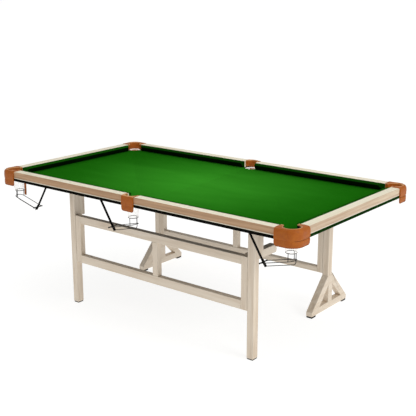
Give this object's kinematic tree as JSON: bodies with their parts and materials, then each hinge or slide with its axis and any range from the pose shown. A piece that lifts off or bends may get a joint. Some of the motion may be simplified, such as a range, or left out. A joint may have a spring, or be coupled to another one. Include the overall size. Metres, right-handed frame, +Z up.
{
  "type": "folding pool table",
  "caption": "Folding home pool table with green cloth bed, pale wood rails, leather pockets with wire ball runners, and a hinged leg frame on a fixed rear stand.",
  "frame": {"origin": "middle of the whole table's outline on the floor, feet included", "axes": "+X along the table's long side, +Y towards the fixed rear stand, +Z up; the ball runners are on the -Y side"},
  "size_m": [2.112, 1.239, 0.806],
  "materials": {
    "pale_wood": "washed pale timber, satin",
    "board_black": "black-faced board",
    "green_cloth": "napped woven cloth",
    "tan_leather": "satin tan leather with stitched edges",
    "white_net": "woven cotton net",
    "dark_wire": "dark painted wire",
    "black_strap": "matt black strap and pads",
    "steel": "zinc-plated hinge"
  },
  "bodies": {
    "rear_stand": {"rear_leg_left": "pale_wood", "rear_leg_right": "pale_wood", "rear_foot_left": "pale_wood", "rear_foot_right": "pale_wood", "rear_pad_left_near": "black_strap", "rear_pad_left_far": "black_strap", "rear_pad_right_near": "black_strap", "rear_pad_right_far": "black_strap", "rear_rail_low": "pale_wood", "rear_rail_top": "pale_wood", "rear_stile_left": "pale_wood", "rear_stile_middle": "pale_wood", "rear_stile_right": "pale_wood"},
    "top": {"bed_board": "board_black", "bed_cloth": "green_cloth", "rail_front_left": "pale_wood", "rail_front_right": "pale_wood", "rail_back_left": "pale_wood", "rail_back_right": "pale_wood", "rail_left": "pale_wood", "rail_right": "pale_wood", "cushion_front_left": "green_cloth", "cushion_front_right": "green_cloth", "cushion_back_left": "green_cloth", "cushion_back_right": "green_cloth", "cushion_left": "green_cloth", "cushion_right": "green_cloth", "leather_front_left": "tan_leather", "leather_front_middle": "tan_leather", "leather_front_right": "tan_leather", "leather_back_left": "tan_leather", "leather_back_middle": "tan_leather", "leather_back_right": "tan_leather", "net_front_left": "white_net", "net_front_middle": "white_net", "net_front_right": "white_net", "net_back_left": "white_net", "net_back_middle": "white_net", "net_back_right": "white_net", "runner_front_left": "dark_wire", "runner_front_middle": "dark_wire", "runner_front_right": "dark_wire", "hanger_front_left": "black_strap", "hanger_front_middle": "black_strap", "hanger_front_right": "black_strap", "tab_front_left": "tan_leather", "front_hinge": "steel", "rear_hinge": "steel"},
    "front_frame": {"front_leg_left": "pale_wood", "front_leg_right": "pale_wood", "front_doubler_left": "pale_wood", "front_doubler_right": "pale_wood", "front_glide_left": "black_strap", "front_glide_right": "black_strap", "front_rail_low": "pale_wood", "front_rail_top": "pale_wood", "front_stile_left": "pale_wood", "front_stile_middle": "pale_wood", "front_stile_right": "pale_wood"},
    "stay": {"stay_right": "pale_wood"}
  },
  "joints": [
    {"name": "top_tilt", "type": "hinge", "parent": "rear_stand", "child": "top", "pos_m": [0, 0.4395, 0.7412], "axis": [1, 0, 0], "range_deg": [-90, 0]},
    {"name": "front_legs_fold", "type": "hinge", "parent": "top", "child": "front_frame", "pos_m": [0, -0.3585, 0.7412], "axis": [1, 0, 0], "range_deg": [0, 90]},
    {"name": "stay_swing", "type": "hinge", "parent": "front_frame", "child": "stay", "pos_m": [0.632, -0.3875, 0.5345], "axis": [1, 0, 0], "range_deg": [-90, 0]}
  ],
  "couplings": [
    {"joint": "stay_swing", "follows": "front_legs_fold", "ratio": -1}
  ]
}
